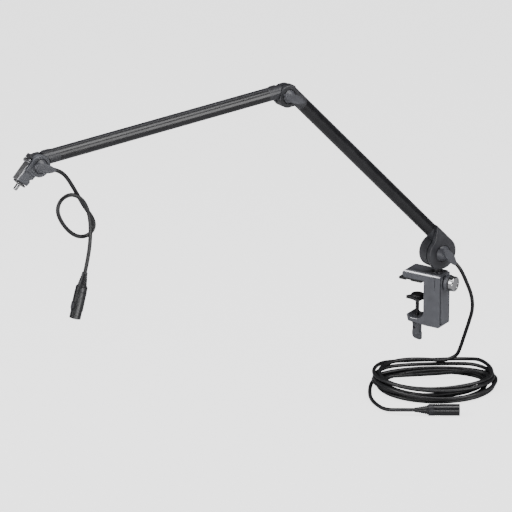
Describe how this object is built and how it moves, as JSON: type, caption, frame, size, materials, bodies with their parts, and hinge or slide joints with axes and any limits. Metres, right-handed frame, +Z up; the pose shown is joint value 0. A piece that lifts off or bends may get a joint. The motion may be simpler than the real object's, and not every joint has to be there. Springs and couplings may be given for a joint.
{
  "type": "boom_arm",
  "caption": "Two-section black desk boom arm with screw clamp, swivel post, friction hinges with wing knobs, threaded stud and built-in three-pin audio cable on a loose coil.",
  "frame": {"origin": "on the clamp screw's axis, on the contact face of the pad under the upper jaw", "axes": "+X from the jaw's tip to the clamp's spine, +Z up along the clamp screw, +Y completes a right-handed frame"},
  "size_m": [0.4032, 0.8618, 0.579],
  "materials": {
    "black_paint": "satin",
    "grey_cast": "satin",
    "bright_steel": "brushed",
    "chrome": "polished",
    "black_plastic": "matte",
    "black_rubber": "matte",
    "grey_plastic": "matte"
  },
  "bodies": {
    "clamp": {"clamp_frame": "grey_cast", "clamp_top_cover": "grey_plastic", "clamp_rear_cover": "grey_cast", "upper_jaw_pad": "black_rubber", "clamp_nut": "bright_steel", "post_bush": "bright_steel"},
    "plate": {"pressure_plate": "black_paint", "pressure_pad": "black_rubber"},
    "screw": {"clamp_screw": "black_paint", "clamp_grip": "black_plastic"},
    "lock_tip": {"post_lock_tip": "bright_steel"},
    "lock_screw": {"post_lock_screw": "bright_steel", "post_lock_knob": "grey_cast", "post_lock_ring": "black_plastic", "post_lock_cap": "chrome"},
    "base": {"base_post": "bright_steel", "base_neck_nut": "black_paint", "base_hinge_head": "black_paint", "base_hinge_bolt": "bright_steel", "base_friction_washer": "black_plastic", "cable_gland": "black_rubber", "drop_cable": "black_rubber", "cable_coil": "black_rubber", "tail_cable": "black_rubber", "plug_boot": "black_rubber", "plug_collar": "black_plastic", "plug_shell": "black_paint", "plug_insert": "black_plastic", "plug_pins": "chrome"},
    "base_knob": {"base_wing_knob": "black_plastic"},
    "lower_arm": {"lower_base_fitting": "black_paint", "lower_tube": "black_paint", "lower_elbow_fitting": "black_paint", "lower_cable_cover": "black_plastic", "lower_inner_cable": "black_rubber"},
    "upper_arm": {"upper_elbow_fitting": "black_paint", "upper_tube": "black_paint", "upper_head_fitting": "black_paint", "upper_cable_cover": "black_plastic", "upper_inner_cable": "black_rubber", "elbow_hinge_bolt": "bright_steel", "elbow_friction_washer": "black_plastic", "head_hinge_bolt": "bright_steel", "head_friction_washer": "black_plastic", "pigtail_gland": "black_rubber", "pigtail_cable": "black_rubber", "socket_boot": "black_rubber", "socket_collar": "black_paint", "socket_shell": "black_paint", "socket_insert": "black_plastic", "socket_contacts": "chrome"},
    "latch": {"socket_latch_button": "black_plastic"},
    "elbow_knob": {"elbow_wing_knob": "black_plastic"},
    "head_knob": {"head_wing_knob": "black_plastic"},
    "mic_head": {"head_cheek": "grey_cast", "head_face_plate": "bright_steel", "head_plate_pin": "chrome", "head_plate_grip": "black_plastic", "stud_flange": "black_paint", "mic_stud": "chrome"}
  },
  "joints": [
    {"name": "base_swivel", "type": "hinge", "parent": "clamp", "child": "base", "pos_m": [0.035, 0, 0.02], "axis": [0, 0, 1], "range_deg": [-180, 75]},
    {"name": "shoulder", "type": "hinge", "parent": "base", "child": "lower_arm", "pos_m": [0.035, 0, 0.054], "axis": [0.9245, -0.3811, 0], "range_deg": [-54, 45]},
    {"name": "elbow", "type": "hinge", "parent": "lower_arm", "child": "upper_arm", "pos_m": [-0.07979, -0.27849, 0.37484], "axis": [0.9245, -0.3811, 0], "range_deg": [-48, 56]},
    {"name": "head_tilt", "type": "hinge", "parent": "upper_arm", "child": "mic_head", "pos_m": [-0.25377, -0.70062, 0.35511], "axis": [0.9245, -0.3811, 0], "range_deg": [-35, 66]},
    {"name": "base_knob_turn", "type": "hinge", "parent": "base", "child": "base_knob", "pos_m": [0.035, 0, 0.054], "axis": [0.9245, -0.3811, 0], "range_deg": [-20, 160]},
    {"name": "elbow_knob_turn", "type": "hinge", "parent": "upper_arm", "child": "elbow_knob", "pos_m": [-0.07979, -0.27849, 0.37484], "axis": [0.9245, -0.3811, 0], "range_deg": [-20, 160]},
    {"name": "head_knob_turn", "type": "hinge", "parent": "upper_arm", "child": "head_knob", "pos_m": [-0.25377, -0.70062, 0.35511], "axis": [0.9245, -0.3811, 0], "range_deg": [-20, 160]},
    {"name": "clamp_feed", "type": "slide", "parent": "clamp", "child": "plate", "axis": [0, 0, 1], "range_m": [-0.021, 0.002]},
    {"name": "clamp_turn", "type": "hinge", "parent": "plate", "child": "screw", "pos_m": [0, 0, -0.09], "axis": [0, 0, 1], "range_deg": [-7560, 720]},
    {"name": "lock_feed", "type": "slide", "parent": "clamp", "child": "lock_tip", "axis": [1, 0, 0], "range_m": [0, 0.002]},
    {"name": "lock_turn", "type": "hinge", "parent": "lock_tip", "child": "lock_screw", "pos_m": [0.06, 0, 0.004], "axis": [1, 0, 0], "range_deg": [-720, 0]},
    {"name": "latch_press", "type": "slide", "parent": "upper_arm", "child": "latch", "axis": [0.3669, 0.8901, -0.2706], "range_m": [0, 0.0014], "stiffness_N_per_m": 400}
  ],
  "couplings": [
    {"joint": "clamp_turn", "follows": "clamp_feed", "rad_per_m": 6283.2},
    {"joint": "lock_turn", "follows": "lock_feed", "rad_per_m": -6283.2}
  ]
}
